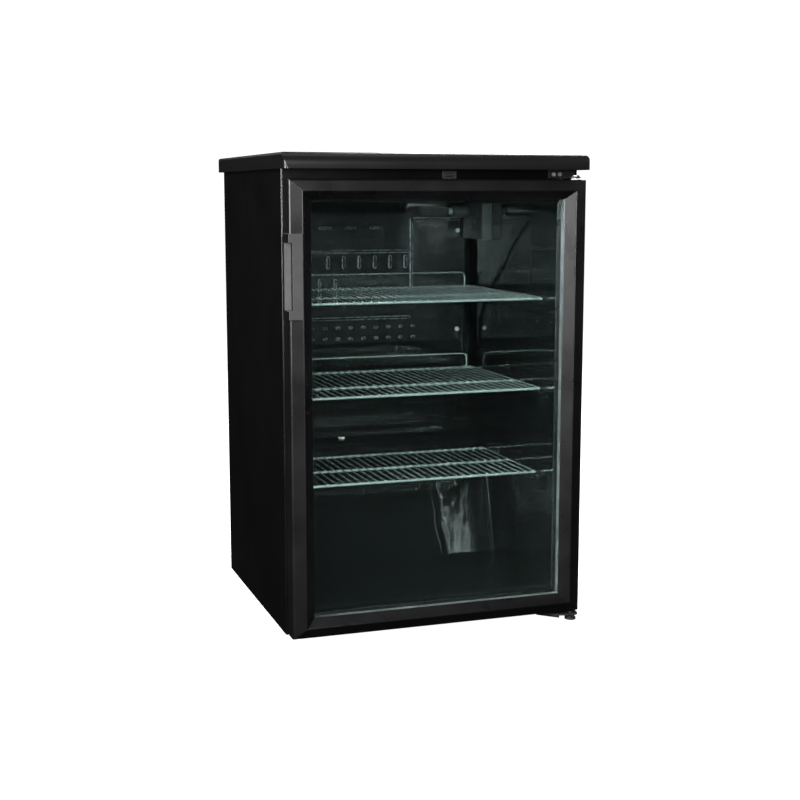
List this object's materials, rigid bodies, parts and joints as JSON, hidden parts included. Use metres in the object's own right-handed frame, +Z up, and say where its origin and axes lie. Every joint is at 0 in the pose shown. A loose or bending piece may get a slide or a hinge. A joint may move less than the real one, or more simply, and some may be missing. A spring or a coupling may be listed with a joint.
{
  "type": "glass door merchandiser",
  "caption": "Under-counter refrigerated display cabinet with a framed glass door, wire shelves, lamp and a rear compressor niche.",
  "frame": {"origin": "centre of the footprint, on the floor plane under the feet", "axes": "+X to the right seen from the front, -Y out of the door, +Z up"},
  "size_m": [0.56, 0.6, 0.85],
  "materials": {
    "cabinet_black": "semi-gloss powder coat",
    "worktop_black": "gloss",
    "frame_black": "satin",
    "handle_grey": "fine matt texture",
    "liner_black": "gloss",
    "galvanised": "galvanised sheet",
    "foam": "polyurethane foam",
    "evaporator_metal": "dark lacquer",
    "copper": "bare copper",
    "compressor_black": "black enamel",
    "condenser_black": "black enamel",
    "rubber_black": "matt",
    "zinc": "zinc plated",
    "chrome_wire": "bright chrome",
    "dark_plastic": "matt",
    "white_plastic": "satin",
    "glass_clear": "clear",
    "bulb_glass": "frosted",
    "gasket_rubber": "matt",
    "spacer_metal": "satin",
    "bracket_metal": "black zinc"
  },
  "bodies": {
    "cabinet": {"left_side_panel": "cabinet_black", "right_side_panel": "cabinet_black", "rear_panel": "galvanised", "base_panel": "galvanised", "niche_panel": "galvanised", "foam_insulation": "foam", "inner_liner": "liner_black", "front_top_rail": "cabinet_black", "worktop": "worktop_black", "worktop_screws": "zinc", "switch_bezel": "dark_plastic", "evaporator_plate": "evaporator_metal", "evaporator_screws": "zinc", "evaporator_tube": "evaporator_metal", "drip_gutter": "liner_black", "drain_tube": "white_plastic", "evaporation_tray": "dark_plastic", "compressor": "compressor_black", "compressor_base": "galvanised", "compressor_grommets": "rubber_black", "compressor_bolts": "zinc", "start_relay_box": "dark_plastic", "filter_drier": "copper", "discharge_line": "copper", "suction_line": "copper", "condenser_tube": "condenser_black", "condenser_wires": "condenser_black", "condenser_brackets": "dark_plastic", "wall_spacers": "dark_plastic", "cord_gland": "dark_plastic", "control_housing": "dark_plastic", "thermostat_body": "zinc", "lamp_socket": "dark_plastic", "lamp_bulb": "bulb_glass", "top_hinge_bracket": "bracket_metal", "top_hinge_pin": "zinc", "bottom_hinge_bracket": "bracket_metal", "bottom_hinge_pin": "zinc", "hinge_screws": "zinc", "rear_feet": "dark_plastic"},
    "lower_shelf": {"lower_shelf": "chrome_wire"},
    "middle_shelf": {"middle_shelf": "chrome_wire", "middle_shelf_fence": "chrome_wire"},
    "upper_shelf": {"upper_shelf": "chrome_wire", "upper_shelf_fence": "chrome_wire"},
    "thermostat_knob": {"thermostat_knob": "dark_plastic"},
    "light_switch": {"light_switch": "dark_plastic"},
    "left_front_foot": {"left_front_foot": "dark_plastic"},
    "right_front_foot": {"right_front_foot": "dark_plastic"},
    "door": {"door_left_stile": "frame_black", "door_right_stile": "frame_black", "door_top_rail": "frame_black", "door_bottom_rail": "frame_black", "outer_glass": "glass_clear", "inner_glass": "glass_clear", "glass_spacer": "spacer_metal", "door_inner_trim": "frame_black", "door_gasket": "gasket_rubber", "door_handle": "handle_grey", "hinge_bushes": "white_plastic"}
  },
  "joints": [
    {"name": "door_hinge", "type": "hinge", "parent": "cabinet", "child": "door", "pos_m": [0.26, -0.272, 0.41], "axis": [0, 0, 1], "range_deg": [0, 105]},
    {"name": "lower_shelf_slide", "type": "slide", "parent": "cabinet", "child": "lower_shelf", "axis": [0, -1, 0], "range_m": [0, 0.045]},
    {"name": "middle_shelf_slide", "type": "slide", "parent": "cabinet", "child": "middle_shelf", "axis": [0, -1, 0], "range_m": [0, 0.045]},
    {"name": "upper_shelf_slide", "type": "slide", "parent": "cabinet", "child": "upper_shelf", "axis": [0, -1, 0], "range_m": [0, 0.045]},
    {"name": "thermostat_turn", "type": "hinge", "parent": "cabinet", "child": "thermostat_knob", "pos_m": [0.21, 0.105, 0.719], "axis": [-1, 0, 0], "range_deg": [0, 270]},
    {"name": "light_switch_rock", "type": "hinge", "parent": "cabinet", "child": "light_switch", "pos_m": [0.028, -0.248, 0.813], "axis": [1, 0, 0], "range_deg": [0, 14]},
    {"name": "left_foot_turn", "type": "hinge", "parent": "cabinet", "child": "left_front_foot", "pos_m": [-0.245, -0.225, 0.006], "axis": [0, 0, 1], "continuous": true},
    {"name": "right_foot_turn", "type": "hinge", "parent": "cabinet", "child": "right_front_foot", "pos_m": [0.258, -0.286, 0.006], "axis": [0, 0, 1], "continuous": true}
  ]
}
